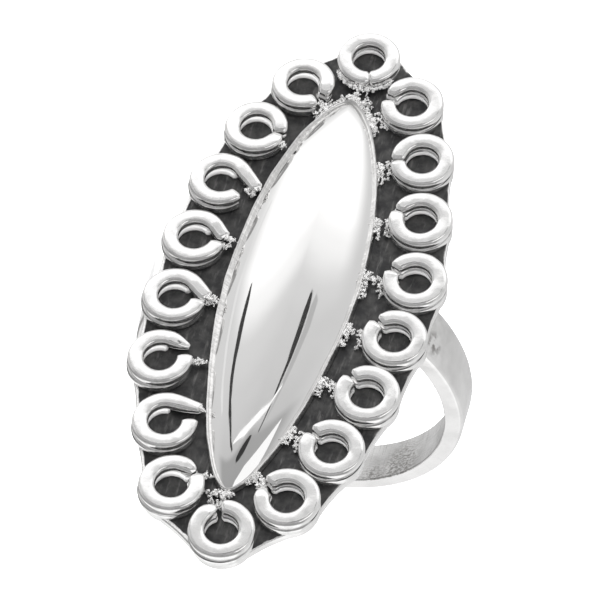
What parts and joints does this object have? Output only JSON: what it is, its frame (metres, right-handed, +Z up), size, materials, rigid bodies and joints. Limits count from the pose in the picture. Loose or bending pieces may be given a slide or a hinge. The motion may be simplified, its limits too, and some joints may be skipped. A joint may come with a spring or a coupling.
{
  "type": "finger ring",
  "caption": "Long marquise cat's eye finger ring: a puffed metal dome in a bezel strip, ringed by open wire loops on a scalloped plate over a plain oval shank.",
  "frame": {"origin": "on the table, under the middle of the ring's box, as the ring lies on its side", "axes": "+Y along the finger's axis and the long axis of the marquise, towards its fuller end; +Z up from the table; the dome faces -X and a little down"},
  "size_m": [0.0218, 0.0356, 0.0196],
  "materials": {
    "setting_silver": "polished sterling silver, oxidised dark in the recess of the plate, satin inside the shank",
    "dome_silver": "mirror polished sterling silver"
  },
  "bodies": {
    "root": {"setting": "setting_silver", "cats_eye_dome": "dome_silver"}
  },
  "joints": []
}
